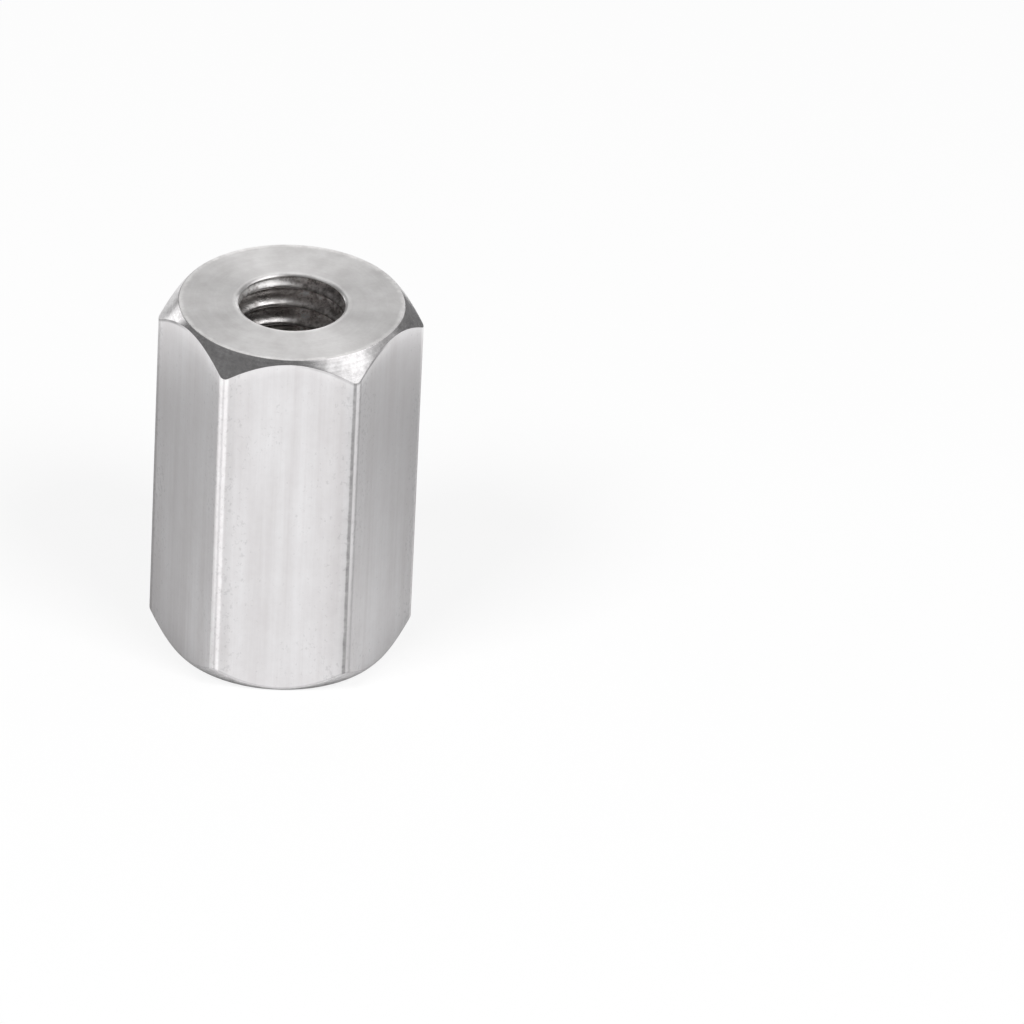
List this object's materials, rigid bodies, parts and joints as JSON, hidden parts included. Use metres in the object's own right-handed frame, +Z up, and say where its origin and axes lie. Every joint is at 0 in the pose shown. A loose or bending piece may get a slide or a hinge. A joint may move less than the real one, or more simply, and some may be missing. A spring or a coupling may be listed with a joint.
{
  "type": "coupling nut",
  "caption": "Long hexagonal coupling nut with a through thread and chamfered ends, for joining two screws or rods end to end.",
  "frame": {"origin": "centre of the lower end face, on the bore's axis", "axes": "+Z up along the bore; one pair of flats faces -Y and +Y, and two corners point along -X and +X"},
  "size_m": [0.0062, 0.0054, 0.009],
  "materials": {
    "stainless_steel": "satin stainless steel, drawn flats and turned ends"
  },
  "bodies": {
    "root": {"coupling_nut": "stainless_steel"}
  },
  "joints": []
}
